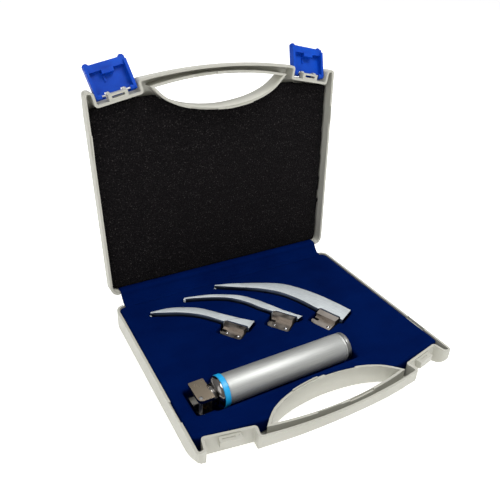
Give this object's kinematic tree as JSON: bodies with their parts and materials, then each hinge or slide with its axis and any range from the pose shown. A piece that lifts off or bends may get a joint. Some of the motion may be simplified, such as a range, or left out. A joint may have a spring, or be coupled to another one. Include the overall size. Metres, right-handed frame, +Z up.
{
  "type": "laryngoscope set in a carrying case",
  "caption": "Laryngoscope handle with curved blades lying in a fitted carrying case whose hinged lid and latches stand open.",
  "frame": {"origin": "on the underside of the case base, on its centre line, 107.7 mm in front of the back wall", "axes": "+X to the right seen from the grip side, +Y towards the lid hinge, +Z up"},
  "size_m": [0.277, 0.278, 0.2702],
  "materials": {
    "case_plastic": "finely grained warm off-white moulding",
    "latch_plastic": "blue semi-gloss moulding",
    "navy_fabric": "short navy plush",
    "foam": "near-black open-cell foam",
    "pin_steel": "plain steel",
    "polished_steel": "polished",
    "satin_steel": "satin, finely knurled",
    "ring_plastic": "cyan",
    "insulator": "black",
    "brass": "plain",
    "cell": "plain sleeve",
    "blade_steel": "matt, brushed lengthwise",
    "lamp_glass": "clear",
    "ball_steel": "polished"
  },
  "bodies": {
    "base": {"base_shell": "case_plastic", "insert": "navy_fabric", "flap_base": "navy_fabric", "hinge_pin_left": "pin_steel", "hinge_pin_right": "pin_steel"},
    "lid": {"lid_shell": "case_plastic", "lid_foam": "foam", "flap_lid": "navy_fabric", "latch_pin_left": "pin_steel", "latch_pin_right": "pin_steel"},
    "left_latch": {"latch_left": "latch_plastic"},
    "right_latch": {"latch_right": "latch_plastic"},
    "handle": {"handle_head": "polished_steel", "hinge_bar": "pin_steel", "contact_insulator": "insulator", "contact_spring": "pin_steel", "colour_ring": "ring_plastic", "handle_tube": "satin_steel", "battery_front": "cell", "battery_rear": "cell"},
    "contact": {"contact_plunger": "brass"},
    "cap_thread": {"cap_spring": "pin_steel"},
    "cap": {"end_cap": "satin_steel"},
    "blade4": {"blade4_body": "blade_steel", "blade4_block": "polished_steel", "blade4_stud": "brass", "blade4_light_tube": "satin_steel", "blade4_lamp": "lamp_glass"},
    "blade4_upper_ball": {"blade4_ball_upper": "ball_steel"},
    "blade4_lower_ball": {"blade4_ball_lower": "ball_steel"},
    "blade3": {"blade3_body": "blade_steel", "blade3_block": "polished_steel", "blade3_stud": "brass", "blade3_light_tube": "satin_steel", "blade3_lamp": "lamp_glass", "blade3_rivet": "ball_steel"},
    "blade3_upper_ball": {"blade3_ball_upper": "ball_steel"},
    "blade3_lower_ball": {"blade3_ball_lower": "ball_steel"},
    "blade2": {"blade2_body": "blade_steel", "blade2_block": "polished_steel", "blade2_stud": "brass", "blade2_light_tube": "satin_steel", "blade2_lamp": "lamp_glass", "blade2_rivet": "ball_steel"},
    "blade2_upper_ball": {"blade2_ball_upper": "ball_steel"},
    "blade2_lower_ball": {"blade2_ball_lower": "ball_steel"}
  },
  "joints": [
    {"name": "lid_hinge", "type": "hinge", "parent": "base", "child": "lid", "pos_m": [0, 0.11496, 0.02736], "axis": [-1, 0, 0], "range_deg": [-95.3, 0]},
    {"name": "left_latch_hinge", "type": "hinge", "parent": "lid", "child": "left_latch", "pos_m": [-0.10696, 0.14068, 0.24033], "axis": [-0.9792, -0.0187, -0.202], "range_deg": [-114, 0]},
    {"name": "right_latch_hinge", "type": "hinge", "parent": "lid", "child": "right_latch", "pos_m": [0.10696, 0.14068, 0.24033], "axis": [-0.9792, 0.0187, 0.202], "range_deg": [-114, 0]},
    {"name": "handle_lift", "type": "slide", "parent": "base", "child": "handle", "axis": [0, 0, 1], "range_m": [0, 0.06]},
    {"name": "contact_press", "type": "slide", "parent": "handle", "child": "contact", "axis": [1, 0, 0], "range_m": [0, 0.0011], "stiffness_N_per_m": 400},
    {"name": "cap_travel", "type": "slide", "parent": "handle", "child": "cap_thread", "axis": [1, 0, 0], "range_m": [0, 0.003]},
    {"name": "cap_turn", "type": "hinge", "parent": "cap_thread", "child": "cap", "pos_m": [0.045, -0.049, 0.026], "axis": [1, 0, 0], "range_deg": [0, 722]},
    {"name": "blade4_lift", "type": "slide", "parent": "base", "child": "blade4", "axis": [0, 0, 1], "range_m": [0, 0.05]},
    {"name": "blade4_upper_detent", "type": "slide", "parent": "blade4", "child": "blade4_upper_ball", "axis": [0, 0, -1], "range_m": [0, 0.0008], "stiffness_N_per_m": 1500},
    {"name": "blade4_lower_detent", "type": "slide", "parent": "blade4", "child": "blade4_lower_ball", "axis": [0, 0, 1], "range_m": [0, 0.0008], "stiffness_N_per_m": 1500},
    {"name": "blade3_lift", "type": "slide", "parent": "base", "child": "blade3", "axis": [0, 0, 1], "range_m": [0, 0.05]},
    {"name": "blade3_upper_detent", "type": "slide", "parent": "blade3", "child": "blade3_upper_ball", "axis": [0, 0, -1], "range_m": [0, 0.0008], "stiffness_N_per_m": 1500},
    {"name": "blade3_lower_detent", "type": "slide", "parent": "blade3", "child": "blade3_lower_ball", "axis": [0, 0, 1], "range_m": [0, 0.0008], "stiffness_N_per_m": 1500},
    {"name": "blade2_lift", "type": "slide", "parent": "base", "child": "blade2", "axis": [0, 0, 1], "range_m": [0, 0.05]},
    {"name": "blade2_upper_detent", "type": "slide", "parent": "blade2", "child": "blade2_upper_ball", "axis": [0, 0, -1], "range_m": [0, 0.0008], "stiffness_N_per_m": 1500},
    {"name": "blade2_lower_detent", "type": "slide", "parent": "blade2", "child": "blade2_lower_ball", "axis": [0, 0, 1], "range_m": [0, 0.0008], "stiffness_N_per_m": 1500}
  ],
  "couplings": [
    {"joint": "cap_turn", "follows": "cap_travel", "rad_per_m": 4188.8}
  ]
}
